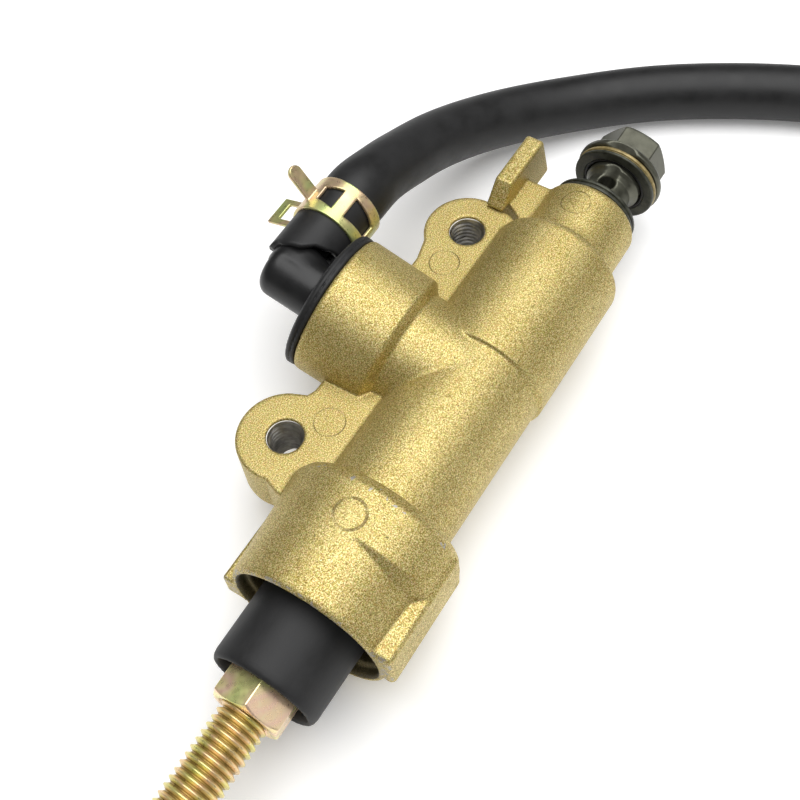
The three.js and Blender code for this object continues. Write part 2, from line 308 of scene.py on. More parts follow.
def surface(name, field, lo, hi, step, material):
    """A mesh of the field's zero surface, as a net of quads about one step wide."""
    lo = np.array(lo, float)
    counts = np.ceil((np.array(hi) - lo) / step).astype(int) + 1
    values = grid_values(field, lo, counts, step)
    inside = values < 0
    corner = [
        inside[i : i + counts[0] - 1, j : j + counts[1] - 1, k : k + counts[2] - 1]
        for i in (0, 1)
        for j in (0, 1)
        for k in (0, 1)
    ]
    filled = sum(c.astype(np.int8) for c in corner)
    mixed = (filled > 0) & (filled < 8)
    cells = np.argwhere(mixed)
    index = np.full(mixed.shape, -1, np.int64)
    index[mixed] = np.arange(len(cells))
    total = np.zeros((len(cells), 3))
    number = np.zeros(len(cells))
    for axis in range(3):
        for p in (0, 1):
            for q in (0, 1):
                offset = np.zeros(3, int)
                offset[(axis + 1) % 3] = p
                offset[(axis + 2) % 3] = q
                a = cells + offset
                b = a.copy()
                b[:, axis] += 1
                va = values[a[:, 0], a[:, 1], a[:, 2]]
                vb = values[b[:, 0], b[:, 1], b[:, 2]]
                hit = (va < 0) != (vb < 0)
                spot = np.tile(offset.astype(float), (len(cells), 1))
                spot[hit, axis] += va[hit] / (va[hit] - vb[hit])
                total[hit] += spot[hit]
                number += hit
    points = lo + step * (cells + total / number[:, None])
    points = pull_to_surface(field, points, step)
    faces = net_faces(inside, index)
    return make_object(name, points, faces.tolist(), material)


def loft(name, rings, material, closed_rows=False):
    """Quads between successive rings of points. Ends are capped unless the rows close on themselves."""
    rings = np.asarray(rings, float)
    rows, columns = rings.shape[:2]
    faces = []
    for i in range(rows if closed_rows else rows - 1):
        a, b = i * columns, ((i + 1) % rows) * columns
        for j in range(columns):
            k = (j + 1) % columns
            faces.append((a + j, a + k, b + k, b + j))
    if not closed_rows:
        faces.append(tuple(reversed(range(columns))))
        faces.append(tuple(range((rows - 1) * columns, rows * columns)))
    return make_object(name, rings.reshape(-1, 3), faces, material)


# ---------------------------------------------------------------- materials


class Shader:
    """A principled material and short ways to wire procedural nodes into it. Noise scales are per metre."""

    def __init__(self, name, colour, roughness, metallic=0.0):
        self.material = bpy.data.materials.new(name)
        self.material.use_nodes = True
        self.nodes = self.material.node_tree.nodes
        self.links = self.material.node_tree.links
        self.base = self.nodes["Principled BSDF"]
        self.base.inputs["Base Color"].default_value = (*colour, 1)
        self.base.inputs["Roughness"].default_value = roughness
        self.base.inputs["Metallic"].default_value = metallic
        self.place = self.nodes.new("ShaderNodeTexCoord").outputs["Object"]

    def set(self, socket, value):
        self.base.inputs[socket].default_value = value

    def link(self, output, socket):
        self.links.new(output, self.base.inputs[socket])

    def noise(self, scale, detail=2.0, rough=0.5, stretch=None, distortion=0.0):
        node = self.nodes.new("ShaderNodeTexNoise")
        node.inputs["Scale"].default_value = scale
        node.inputs["Detail"].default_value = detail
        node.inputs["Roughness"].default_value = rough
        node.inputs["Distortion"].default_value = distortion
        place = self.place
        if stretch:
            mapping = self.nodes.new("ShaderNodeMapping")
            mapping.inputs["Scale"].default_value = stretch
            self.links.new(place, mapping.inputs["Vector"])
            place = mapping.outputs["Vector"]
        self.links.new(place, node.inputs["Vector"])
        return node.outputs["Fac"]

    def cells(self, scale):
        """One random colour for each small cell."""
        node = self.nodes.new("ShaderNodeTexVoronoi")
        node.inputs["Scale"].default_value = scale
        self.links.new(self.place, node.inputs["Vector"])
        return node.outputs["Color"]

    def ramp(self, value, *stops):
        """stops are (position, grey or colour)."""
        node = self.nodes.new("ShaderNodeValToRGB")
        points = node.color_ramp.elements
        while len(points) < len(stops):
            points.new(0.5)
        for point, (at, colour) in zip(points, stops):
            point.position = at
            shade = (colour,) * 3 if isinstance(colour, (int, float)) else colour
            point.color = (*shade, 1)
        self.links.new(value, node.inputs["Fac"])
        return node.outputs["Color"]

    def mix(self, factor, a, b, kind="MIX"):
        node = self.nodes.new("ShaderNodeMix")
        node.data_type = "RGBA"
        node.blend_type = kind
        sockets = [s for s in node.inputs if s.type == "RGBA"]
        for socket, value in zip([node.inputs[0], *sockets], (factor, a, b)):
            if isinstance(value, bpy.types.NodeSocket):
                self.links.new(value, socket)
            elif isinstance(value, (int, float)):
                socket.default_value = value
            else:
                socket.default_value = (*value, 1)
        return [s for s in node.outputs if s.type == "RGBA"][0]

    def maths(self, operation, a, b=0.0):
        node = self.nodes.new("ShaderNodeMath")
        node.operation = operation
        for socket, value in zip(node.inputs, (a, b)):
            if isinstance(value, bpy.types.NodeSocket):
                self.links.new(value, socket)
            else:
                socket.default_value = value
        return node.outputs[0]

    def bump(self, height, strength, distance):
        node = self.nodes.new("ShaderNodeBump")
        node.inputs["Strength"].default_value = strength
        node.inputs["Distance"].default_value = distance
        self.links.new(height, node.inputs["Height"])
        self.link(node.outputs["Normal"], "Normal")

    def axes(self):
        node = self.nodes.new("ShaderNodeSeparateXYZ")
        self.links.new(self.place, node.inputs[0])
        return node.outputs

    def distance_to(self, point_mm, flat=None):
        """Metres from a bore-frame point, ignoring one axis if flat names it."""
        target = self.nodes.new("ShaderNodeVectorMath")
        target.operation = "SUBTRACT"
        self.links.new(self.place, target.inputs[0])
        target.inputs[1].default_value = to_row(point_mm)
        keep = self.nodes.new("ShaderNodeVectorMath")
        keep.operation = "MULTIPLY"
        self.links.new(target.outputs[0], keep.inputs[0])
        keep.inputs[1].default_value = [0 if a == flat else 1 for a in range(3)]
        length = self.nodes.new("ShaderNodeVectorMath")
        length.operation = "LENGTH"
        self.links.new(keep.outputs[0], length.inputs[0])
        return length.outputs["Value"]


# Circles left by the die's ejector pins, seen from above: centre, radius and half width of the line, mm.
PIN_MARKS = [
    ((29.3, 15.0, 4.5), 2.6, 0.11),
    ((65.5, 15.6, 4.5), 2.6, 0.12),
    ((14.0, -0.4, 15.2), 2.5, 0.24),
    ((85.2, 1.0, 8.7), 2.5, 0.12),
]
PIN_MARK_DROP = 2.2

# Where the paint is worn, and where painted shade darkens it, mm: wear on the housing's front edge and its
# rim, painted shade inside its mouth.
WORN_EDGE_X = 19.0
WORN_EDGE_HALF = 0.7
WORN_EDGE_Z = 9.0
WORN_RIM_X = 0.45
MOUTH_RADIUS = 13.0
MOUTH_END_X = 11.0

PAINT_GRAIN = 5200
PAINT = (0.55, 0.42, 0.13)
PAINT_DEEP = (0.09, 0.06, 0.008)
PAINT_MIDDLE = (0.46, 0.345, 0.085)
PAINT_FLAKE = (0.95, 0.83, 0.46)
PAINT_THIN = (0.36, 0.27, 0.06)
PAINT_THICK = (0.66, 0.55, 0.22)
# Painted shade along the ejector pins' circles.
PIN_LINE_PAINTED_SHADE = (0.08, 0.055, 0.015)
# Dark specks in the paint's pits, and painted shade inside the housing's mouth.
PIT_GRIME_AND_MOUTH_SHADE = (0.05, 0.04, 0.02)
BARE_METAL = (0.42, 0.4, 0.37)


def pin_lines(s, z):
    """1 on the ejector pins' circles, weaker where the line is broken, and 0 elsewhere; it drives their
    painted shade and their dip in the bump.
    """
    lines = 0.0
    for centre, radius, half_line in PIN_MARKS:
        off_line = s.maths("ABSOLUTE", s.maths("SUBTRACT", s.distance_to(centre, 2), radius / 1000))
        line = s.maths("LESS_THAN", off_line, half_line / 1000)
        near_top = s.maths("GREATER_THAN", z, metres(centre[2] - PIN_MARK_DROP, 2))
        lines = s.maths("MAXIMUM", lines, s.maths("MULTIPLY", line, near_top))
    return s.maths("MULTIPLY", lines, s.ramp(s.noise(260, 2), (0.4, 0.3), (0.6, 1.0)))


def worn_edges(s, x, z):
    """Chips on the housing's front edge and wear round its rim."""
    off_edge = s.maths("ABSOLUTE", s.maths("SUBTRACT", x, metres(WORN_EDGE_X, 0)))
    edge = s.maths("LESS_THAN", off_edge, WORN_EDGE_HALF / 1000)
    upper = s.maths("GREATER_THAN", z, metres(WORN_EDGE_Z, 2))
    chip = s.ramp(s.noise(620, 3, 0.7), (0.6, 0.0), (0.63, 1.0))
    edge_chip = s.maths("MULTIPLY", s.maths("MULTIPLY", edge, chip), upper)
    rim = s.maths("LESS_THAN", x, metres(WORN_RIM_X, 0))
    rub = s.ramp(s.noise(900, 3, 0.7), (0.52, 0.0), (0.58, 0.8))
    return s.maths("MAXIMUM", edge_chip, s.maths("MULTIPLY", rim, rub))


def mouth_shade(s, x):
    """1 on the walls inside the housing's mouth, where painted shade darkens the paint."""
    within = s.maths("LESS_THAN", s.distance_to((0, 0, 0), 0), MOUTH_RADIUS / 1000)
    return s.maths("MULTIPLY", within, s.maths("LESS_THAN", x, metres(MOUTH_END_X, 0)))


def gold_paint():
    """Fine metallic paint over a cast surface, worn to bare metal on a few edges, with painted shade inside
    the mouth and on the ejector pins' circles.
    """
    s = Shader("gold_paint", PAINT, 0.46, 0.7)
    s.set("Specular IOR Level", 0.5)
    grain = s.noise(PAINT_GRAIN, 3, 0.75)
    speck = s.ramp(grain, (0.37, PAINT_DEEP), (0.5, PAINT_MIDDLE), (0.62, PAINT_FLAKE))
    tone = s.mix(0.25, speck, s.cells(PAINT_GRAIN), "SOFT_LIGHT")
    patch = s.ramp(s.noise(120, 3), (0.3, PAINT_THIN), (0.7, PAINT_THICK))
    tone = s.mix(0.22, tone, patch)
    x, _, z = s.axes()
    lines = pin_lines(s, z)
    # Painted shade: the ejector pins' circles are real marks, and their dark lines are shade painted into
    # the paint's colour.
    tone = s.mix(s.maths("MULTIPLY", lines, 0.7), tone, PIN_LINE_PAINTED_SHADE)
    pits = s.ramp(s.noise(1300, 1), (0.765, 0.0), (0.785, 1.0))
    tone = s.mix(s.maths("MULTIPLY", pits, 0.6), tone, PIT_GRIME_AND_MOUTH_SHADE)
    tone = s.mix(worn_edges(s, x, z), tone, BARE_METAL)
    # Painted shade: the walls inside the housing's mouth are darkened.
    tone = s.mix(s.maths("MULTIPLY", mouth_shade(s, x), 0.8), tone, PIT_GRIME_AND_MOUTH_SHADE)
    s.link(tone, "Base Color")
    s.link(s.ramp(grain, (0.3, 0.6), (0.7, 0.43)), "Roughness")
    uneven = s.maths("ADD", grain, s.maths("MULTIPLY", s.noise(700, 2), 0.8))
    s.bump(s.maths("SUBTRACT", uneven, s.maths("MULTIPLY", lines, 1.5)), 0.35, 0.00012)
    return s.material


def rubber(name, grey, roughness, dust=0.0, stretch=None):
    """Black rubber or plastic with cloudy, slightly dusty patches."""
    s = Shader(name, (grey, grey, grey * 1.05), roughness)
    s.set("Specular IOR Level", 0.36)
    cloud = s.noise(220, 5, 0.65, stretch)
    fine = s.noise(2600, 2)
    low = (grey * 0.8,) * 3
    high = tuple(grey * (1.35 + dust) * c for c in (1, 1, 1.03))
    s.link(s.ramp(cloud, (0.3, low), (0.72, high)), "Base Color")
    s.link(s.ramp(cloud, (0.3, roughness - 0.05), (0.7, roughness + 0.1)), "Roughness")
    s.bump(s.maths("ADD", fine, s.maths("MULTIPLY", cloud, 2.0)), 0.12, 0.0001)
    return s.material


ZINC_PLAIN = (0.72, 0.66, 0.32)
ZINC_GREEN = (0.56, 0.64, 0.24)
ZINC_GREEN_GOLD = (0.56, 0.66, 0.28)
ZINC_YELLOW = (0.72, 0.68, 0.30)
ZINC_GOLD = (0.72, 0.64, 0.30)
# Painted shade for the roots of a thread.
ZINC_GROOVE_PAINTED_SHADE = (0.10, 0.045, 0.012)
ZINC_THREAD = (0.86, 0.62, 0.16)


def yellow_zinc(name, scale, roughness, pink, gain=1.0, groove=None):
    """Passivated zinc: pale gold with drifting pink and green tints, with painted shade darkening a
    thread's groove.
    """
    s = Shader(name, ZINC_PLAIN, roughness, 0.7)
    drift = s.noise(scale, 1, 0.5, distortion=0.4)
    blush = (0.76, 0.62 - 0.16 * pink, 0.29 + 0.16 * pink)
    tints = (ZINC_GREEN, ZINC_YELLOW, blush, ZINC_GOLD, ZINC_GREEN_GOLD)
    places = (0.28, 0.42, 0.53, 0.63, 0.75)
    stops = [(at, tuple(gain * c for c in tint)) for at, tint in zip(places, tints)]
    tint = s.ramp(drift, *stops)
    if groove:
        # Painted shade: everything nearer the bore line than the given radius, the thread's roots, is
        # darkened brown.
        deep = s.maths("LESS_THAN", s.distance_to((0, 0, 0), 0), groove / 1000)
        tint = s.mix(s.maths("MULTIPLY", deep, 0.9), tint, ZINC_GROOVE_PAINTED_SHADE)
        tint = s.mix(0.35, tint, ZINC_THREAD)
    cloud = s.noise(900, 2)
    s.link(s.mix(0.22, tint, s.ramp(cloud, (0.3, 0.35), (0.7, 1.0)), "MULTIPLY"), "Base Color")
    s.link(s.ramp(cloud, (0.3, roughness - 0.06), (0.7, roughness + 0.1)), "Roughness")
    s.bump(cloud, 0.08, 0.0001)
    return s.material


def plated(name, colour, roughness, metallic, fleck=0.25):
    """Plated or bare metal with a faint fleck."""
    s = Shader(name, colour, roughness, metallic)
    cloud = s.noise(420, 4, 0.6)
    fine = s.noise(3000, 2)
    low = tuple(c * (1 - fleck) for c in colour)
    high = tuple(min(1, c * (1 + fleck) + 0.01) for c in colour)
    s.link(s.ramp(cloud, (0.3, low), (0.7, high)), "Base Color")
    s.link(s.ramp(cloud, (0.3, roughness - 0.07), (0.7, roughness + 0.08)), "Roughness")
    s.bump(fine, 0.1, 0.00005)
    return s.material


WASHER_GOLD_X = 99.35


def washer_dark():
    """Near-black steel for the washers' faces, with the brass-coloured backing plate of the outer washer
    showing.
    """
    s = Shader("washer_dark", (0.03, 0.03, 0.027), 0.42, 0.4)
    plate = s.maths("GREATER_THAN", s.axes()[0], metres(WASHER_GOLD_X, 0))
    cloud = s.noise(700, 3, 0.6)
    brass = s.ramp(cloud, (0.3, (0.20, 0.15, 0.055)), (0.7, (0.46, 0.36, 0.16)))
    dark_face = s.ramp(cloud, (0.3, (0.02, 0.021, 0.016)), (0.7, (0.075, 0.078, 0.056)))
    s.link(s.mix(plate, dark_face, brass), "Base Color")
    s.link(s.ramp(cloud, (0.3, 0.34), (0.7, 0.5)), "Roughness")
    s.bump(cloud, 0.1, 0.0001)
    return s.material


GOLD = gold_paint()
BOOT = rubber("boot_rubber", 0.0125, 0.55, 0.6, (0.5, 1, 1))
HOSE = rubber("hose_rubber", 0.0105, 0.47, 0.4)
COVER = rubber("cover_rubber", 0.012, 0.5)
SEAL = rubber("seal_rubber", 0.014, 0.45)
PLASTIC = rubber("black_plastic", 0.011, 0.35)
ZINC = yellow_zinc("yellow_zinc", 170.0, 0.3, 0.45)
NUT_ZINC = yellow_zinc("nut_zinc", 150.0, 0.28, 0.6, 1.45)
ROD_ZINC = yellow_zinc("rod_zinc", 180.0, 0.3, 0.6, 1.2, 3.6)
WASHER = washer_dark()
OLIVE = plated("olive_plated_steel", (0.105, 0.105, 0.078), 0.36, 0.7)
STEEL = plated("spring_steel", (0.42, 0.42, 0.41), 0.32, 1.0)
BARE = plated("bare_thread", (0.36, 0.35, 0.33), 0.34, 1.0, 0.4)
ALUMINIUM = plated("anodised_aluminium", (0.62, 0.63, 0.65), 0.3, 1.0, 0.1)

# ---------------------------------------------------------------- the casting

HOUSING = [
    (0, 0), (0, 13.25), (0.3, 13.7), (0.9, 13.95), (18.7, 15.15), (19.1, 15.05), (20.4, 14.35),
    (20.8, 13.7), (20.9, 0),
]
SHOULDER_CENTRE = (-3.2, 2.2)
SHOULDER = [
    (9.4, 0), (9.4, 10.6), (11.2, 12.2), (11.5, 12.33), (18.3, 12.35), (19.0, 12.2), (20.2, 11.4),
    (20.6, 10.5), (20.6, 0),
]
FRONT = [
    (50.1, 0), (50.1, 10.7), (50.75, 11.0), (51.15, 11.65), (76.8, 11.65), (77.5, 11.4), (79.0, 9.2),
    (79.3, 8.85), (80.6, 8.7), (80.6, 0),
]
OUTLET = [(70, 0), (70, 8.8), (88.9, 8.7), (89.5, 8.4), (89.8, 7.9), (89.8, 0)]
BORE = [
    (-1, 0), (-1, 13.1), (0.0, 12.95), (0.5, 12.6), (1.9, 12.5), (2.1, 11.9), (4.6, 11.9), (4.6, 12.6),
    (6, 12.6), (6, 11.9), (11, 11.9), (11, 9.6), (12.1, 9.6), (12.1, 10.5), (13.4, 10.5), (13.4, 9.6),
    (16, 9.6), (16.8, 7), (75, 7), (75, 5.15), (89.0, 5.15), (89.8, 5.9), (91, 5.9), (91, 0),
]
PORT_OUTSIDE = [
    (3, 0), (3, 10.6), (12.9, 10.4), (13.2, 10.5), (14.3, 12.1), (14.7, 12.25), (26.3, 12.43),
    (26.75, 12.3), (27.0, 12.0), (27.0, 0),
]
PORT_BORE = [
    (14.7, 0), (14.7, 7), (21.3, 7), (21.3, 9.5), (24.4, 9.5), (24.4, 10.3), (25.9, 10.3), (25.9, 9.5),
    (28, 9.5), (28, 0),
]
RIDGE = ((0, -15.5, -2.8), (19.3, -8, 6.5))
LEDGE = ((0, 8, -5), (13, 15.8, 0.2))
BARREL_X = (12, 60)
BARREL_RADIUS = 10.98
BARREL_TAPER = 0.001
FEED_RADIUS = 1.6
FEED_SPAN = (5, 16)
EAR_A_OUTLINE = [
    (14.6, 5), (14.6, 15.2), *arc(EAR_A[0], EAR_A[1], EAR_A[2], 192, 28, 26), (31.3, 22.3),
    (31.8, 21.1), (33.2, 20.5), (45, 20.3), (45, 5),
]
EAR_B_OUTLINE = [
    (55, 5), (55, 20.3), (64.2, 20.4), *arc(EAR_B[0], EAR_B[1], EAR_B[2], 132, -25, 26), (80.2, 10.9),
    (79.2, 9.2), (77.8, 8.5), (74.5, 5),
]
LUG_WEB = [(76, 4), (76, 13.4), (88.9, 13.4), (88.9, 4)]
LUG_WEB_Z = -4
LUG_BLOCK = [(80.2, -1), (96.8, -1), (94.6, 8.2), (94.2, 9), (83.1, 9), (79.7, 5.2)]
LUG_BLOCK_Y = (12.25, 15.65)
LUG_RELIEF = 9.3
CASTING_STEP = 0.36
CASTING_BOX = ((-0.9, -16.6, -16.2), (99.2, 31.2, 19.6))


def ear(x, y, z, outline, centre):
    """An ear without its hole, and the hole with its countersink."""
    whole = drawn(polygon(x, y, outline), z, EAR_BOTTOM_Z, FACE_Z, 0.45)
    hole = np.hypot(x - centre[0], y - centre[1]) - EAR_HOLE
    sink = hole + (FACE_Z - 0.05 - z) * 0.9
    return whole, np.maximum(np.minimum(hole, sink), z - FACE_Z - 1)


def stop_lug(x, y, z):
    """The web beside the outlet and its upright block, cut back round the ear's hole."""
    web = drawn(polygon(x, y, LUG_WEB), z, LUG_WEB_Z, FACE_Z, 0.4)
    upright = drawn(polygon(x, z, LUG_BLOCK), y, *LUG_BLOCK_Y, 0.5)
    relief = np.hypot(x - EAR_B[0], y - EAR_B[1]) - LUG_RELIEF
    relief = smooth_both(relief, z - FACE_Z - 0.3, 0.3)
    return smooth_cut(smooth_union(web, upright, 0.5), relief, 0.4)


def casting_field(x, y, z):
    along, across, up = port_frame(x, y, z)
    from_port = np.hypot(across, up)
    ear_a, hole_a = ear(x, y, z, EAR_A_OUTLINE, EAR_A)
    ear_b, hole_b = ear(x, y, z, EAR_B_OUTLINE, EAR_B)
    added = (
        (turned(x, y, z, SHOULDER, SHOULDER_CENTRE), 0.2),
        (block(x, y, z, *RIDGE, 0.9), 0.35),
        (block(x, y, z, *LEDGE, 0.35), 0.4),
        (drawn(np.hypot(y, z) - BARREL_RADIUS - BARREL_TAPER * x, x, *BARREL_X, 0.2), 0.6),
        (turned(x, y, z, FRONT), 0.15),
        (turned(x, y, z, OUTLET), 0.25),
        (polygon(along, from_port, mirrored(PORT_OUTSIDE)), 0.25),
        (ear_a, 0.25),
        (ear_b, 0.25),
        (stop_lug(x, y, z), 0.4),
    )
    cut = (
        (turned(x, y, z, BORE), 0.3),
        (polygon(along, from_port, mirrored(PORT_BORE)), 0.3),
        (drawn(from_port - FEED_RADIUS, along, *FEED_SPAN, 0.1), 0.3),
        (hole_a, 0.25),
        (hole_b, 0.25),
    )
    body = turned(x, y, z, HOUSING)
    for shape, fillet in added:
        body = smooth_union(body, shape, fillet)
    for shape, fillet in cut:
        body = smooth_cut(body, shape, fillet)
    return body


def make_casting():
    casting = surface("casting", casting_field, *CASTING_BOX, CASTING_STEP, GOLD)
    settle(
        casting,
        "housing",
        ("body_casting", "inlet_boss", "ear_pushrod_end", "ear_outlet_end", "stop_lug"),
    )


def thread_depth(phase, flat):
    """Share of full depth over one pitch: a flat crest, two flanks and a narrow root."""
    p = np.abs(((phase % 1) - 0.5) * 2)
    return np.clip((p - flat) / (0.92 - flat), 0, 1)


def ring_z(z, radius, angles, centre):
    """A ring of points about a line along Z."""
    radius = np.broadcast_to(radius, angles.shape)
    x = centre[0] + radius * np.cos(angles)
    y = centre[1] + radius * np.sin(angles)
    return np.stack([x, y, np.full(angles.shape, z)], 1)


EAR_THREAD_LEAD = 0.45
EAR_THREAD_BACK = 3.3


def make_ear_thread(name, centre):
    """Tapped thread lining an ear's hole."""
    top = FACE_Z - EAR_THREAD_LEAD
    angles = around(48)
    rows = []
    heights = np.arange(EAR_BOTTOM_Z + 0.4, top, 0.085)
    for height in heights:
        depth = thread_depth(height / EAR_PITCH - angles / (2 * np.pi), 0.15)
        end = min(1.0, (top - height) / 0.8)
        reach = (EAR_THREAD_MAJOR - EAR_THREAD_MINOR) * np.maximum(depth, 1 - end)
        rows.append(ring_z(height, EAR_THREAD_MINOR + reach, angles, centre))
    back = [ring_z(height, EAR_THREAD_BACK, angles, centre) for height in (heights[-1], heights[0])]
    made = loft(name, rows + back, BARE, closed_rows=True)
    made.data.flip_normals()
    settle(made, "housing")


# ---------------------------------------------------------------- rod, nut and boot


def ring_x(x, radius, angles):
    """A ring of points about the bore line."""
    radius = np.broadcast_to(radius, angles.shape)
    return np.stack([np.full(angles.shape, float(x)), radius * np.cos(angles), radius * np.sin(angles)], 1)


# The plain rod and its ball end, as (x, radius).
ROD_END = [
    (-4.9, 3.6), (15.2, 3.6), (16, 4.3), (17, 4.62), (18.2, 4.6), (20.4, 3.8), (21.6, 2.4), (22.1, 0.05),
]


def make_pushrod():
    angles = around(56)
    rows = [ring_x(ROD_TIP_X, 0.05, angles), ring_x(ROD_TIP_X, 3.1, angles)]
    for x in np.arange(ROD_TIP_X + 0.05, -5.0, ROD_PITCH / 14):
        depth = thread_depth(x / ROD_PITCH + angles / (2 * np.pi), 0.18)
        chamfer = 3.15 + (x - ROD_TIP_X) * 1.1
        rows.append(ring_x(x, np.minimum(ROD_CREST - ROD_THREAD_DEPTH * depth, chamfer), angles))
    rows += [ring_x(x, radius, angles) for x, radius in ROD_END]
    made = loft("pushrod_threaded", rows, ROD_ZINC)
    settle(made, "rod", ("pushrod",))


def hexagon(a, b, flats, corner):
    """Distance to a hexagon with one corner at that angle in degrees."""
    distance = np.full(a.shape, -1e9, np.float32)
    for i in range(6):
        angle = math.radians(corner + 30 + 60 * i)
        distance = np.maximum(distance, a * math.cos(angle) + b * math.sin(angle) - flats / 2)
    return distance


NUT_X = (-15.8, -9.3)
NUT_FLATS = 11.1
NUT_CORNER = 100
NUT_HOLE = 4.2
NUT_CHAMFER = 5.5


def nut_field(x, y, z):
    away = np.hypot(y, z)
    near, far = NUT_X
    blank = drawn(hexagon(y, z, NUT_FLATS, NUT_CORNER), x, near, far, 0.15)
    cone = away - NUT_CHAMFER
    cone = np.maximum(cone - (x - near) * 1.5, cone - (far - x) * 1.5) * 0.55
    blank = smooth_both(blank, cone, 0.15)
    hole = away - NUT_HOLE
    sink = hole - np.maximum(np.maximum(near + 0.6 - x, x - far + 0.6), 0) * 0.8
    return smooth_cut(blank, np.minimum(hole, sink), 0.15)


BOOT_OUTLINE = [
    (-10.4, 7.75), (-11.2, 7.95), (-11.5, 8.3), (-11.35, 8.65), (-10.9, 8.95), (-10.1, 9.1), (-2, 9.15),
    (7.2, 9.2), (8.0, 10.0), (8.3, 11.4), (10.5, 11.4), (10.6, 6), (8.8, 4.35), (6.8, 4.35), (5.4, 7.75),
]


def boot_field(x, y, z):
    return polygon(x, np.hypot(y, z), BOOT_OUTLINE)


def make_rod_end():
    make_pushrod()
    nut = surface("lock_nut_hex", nut_field, (-16.4, -7, -7), (-8.7, 7, 7), 0.12, NUT_ZINC)
    settle(nut, "nut", ("lock_nut",))
    boot = surface("boot_cup", boot_field, (-12.1, -12, -12), (11.2, 12, 12), 0.3, BOOT)
    settle(boot, "housing", ("dust_boot",))


# ---------------------------------------------------------------- outlet

BOLT_OUTLINE = [
    (81.5, 0), (81.5, 4.0), (82.4, 4.8), (92.8, 4.8), (93.4, 4.3), (94.2, 4.15), (96.9, 4.15), (97.6, 4.6),
    (98.1, 5.2), (100.4, 5.2), (100.4, 7.9), (100.7, 8.15), (101.4, 8.15), (101.9, 7.8), (102.1, 7.0),
    (102.1, 0),
]


BOLT_HEAD_X = (101.5, 107.6)
BOLT_HEAD_FLATS = 11.6
BOLT_HEAD_CORNER = 12
BOLT_DISH = [(106.9, 0), (106.9, 4.2), (107.8, 4.7), (109, 4.7), (109, 0)]
CROSS_HOLE_X = 95.5
CROSS_HOLE_RADIUS = 1.5
BOLT_WAY_RADIUS = 1.9


def bolt_head(x, y, z):
    away = np.hypot(y, z)
    head = drawn(hexagon(y, z, BOLT_HEAD_FLATS, BOLT_HEAD_CORNER), x, *BOLT_HEAD_X, 0.3)
    cone = (away - 5.7 - (BOLT_HEAD_X[1] - x) * 1.7) * 0.55
    head = smooth_both(head, cone, 0.4)
    return smooth_cut(head, polygon(x, away, mirrored(BOLT_DISH)), 0.2)


def bolt_field(x, y, z):
    away = np.hypot(y, z)
    body = polygon(x, away, mirrored(BOLT_OUTLINE))
    body = smooth_union(body, bolt_head(x, y, z), 0.8)
    cross = np.hypot(x - CROSS_HOLE_X, y) - CROSS_HOLE_RADIUS
    funnel = cross - np.maximum(np.abs(z) - 3.6, 0) * 1.1
    body = smooth_cut(body, np.minimum(cross, funnel), 0.2)
    way = drawn(away - BOLT_WAY_RADIUS, x, 80, CROSS_HOLE_X, 0.05)
    return smooth_cut(body, way, 0.1)


# A sealing washer's near-black ring and its moulded rubber lip, as (x from the washer's first face,
# radius).
WASHER_OUTLINE = [
    (0, 5.9), (0, 7.65), (0.15, 7.8), (0.55, 7.8), (0.65, 7.5), (0.8, 7.5), (0.9, 7.85), (1.4, 7.85),
    (1.5, 7.7), (1.5, 5.9),
]
LIP_OUTLINE = [(0.1, 5.88), (0.05, 5.5), (0.5, 5.3), (1.0, 5.3), (1.45, 5.5), (1.4, 5.88)]
WASHERS = (("inner", 90.1, "housing"), ("outer", 98.6, "outer_washer"))


def ring_field(outline, x0):
    """The field of a ring whose outline starts at x0."""

    def field(x, y, z):
        return polygon(x, np.hypot(y, z), [(x0 + dx, radius) for dx, radius in outline])

    return field


BOLT_THREAD_X = (82.5, 92.4)


def make_bolt_thread():
    """The bolt's thread, seen only through the outlet and when the bolt is drawn out."""
    start, end = BOLT_THREAD_X
    angles = around(56)
    rows = []
    for x in np.arange(start, end, BOLT_PITCH / 10):
        depth = thread_depth(x / BOLT_PITCH + angles / (2 * np.pi), 0.18)
        fade = np.clip((end - 0.1 - x) / 1.2, 0, 1)
        rows.append(ring_x(x, 5.05 - 0.5 * depth * fade - 0.2 * (1 - fade), angles))
    inner = [ring_x(x, 4.5, angles) for x in (end, start)]
    made = loft("bolt_thread", rows + inner, OLIVE, closed_rows=True)
    settle(made, "bolt")


def make_outlet():
    bolt = surface("banjo_bolt_body", bolt_field, (81, -8.8, -8.8), (109, 8.8, 8.8), 0.2, OLIVE)
    settle(bolt, "bolt", ("banjo_bolt",))
    make_bolt_thread()
    for label, x0, body in WASHERS:
        box = (x0 - 0.5, -8.4, -8.4), (x0 + 2.0, 8.4, 8.4)
        washer = surface(f"seal_washer_{label}", ring_field(WASHER_OUTLINE, x0), *box, 0.16, WASHER)
        settle(washer, body, (f"banjo_washer_{label}",))
        lip = surface(f"seal_lip_{label}", ring_field(LIP_OUTLINE, x0), *box, 0.16, SEAL)
        settle(lip, body)


# ---------------------------------------------------------------- inlet

ELBOW_SPIGOT = [
    (15.3, 0), (15.3, 6.5), (17.3, 6.5), (17.3, 5.2), (19.5, 5.2), (19.5, 6.5), (21.7, 6.5), (21.7, 9.1),
    (24.1, 9.1), (24.1, 7), (25.8, 4.95), (30, 4.95), (30, 0),
]
ELBOW_TAIL = [
    (48, 0), (48, 4.85), (51.2, 4.7), (52.4, 4.2), (52.6, 2.8), (59.6, 2.8), (60.2, 3.15), (62.2, 2.8),
    (64, 2.8), (64.6, 3.1), (66, 2.5), (66, 0),
]
COVER_OUTLINE = [
    (27.05, 5.2), (27.05, 12.05), (27.15, 12.25), (27.65, 12.35), (27.8, 12.1), (27.95, 12.35),
    (28.4, 12.35), (28.7, 12.1), (28.95, 11.6), (29.1, 11.0), (29.1, 7.2), (29.6, 6.6), (29.6, 5.15),
    (27.05, 5.15),
]


ELBOW_LEG_RADIUS = 4.9
ELBOW_WAY_RADIUS = 2


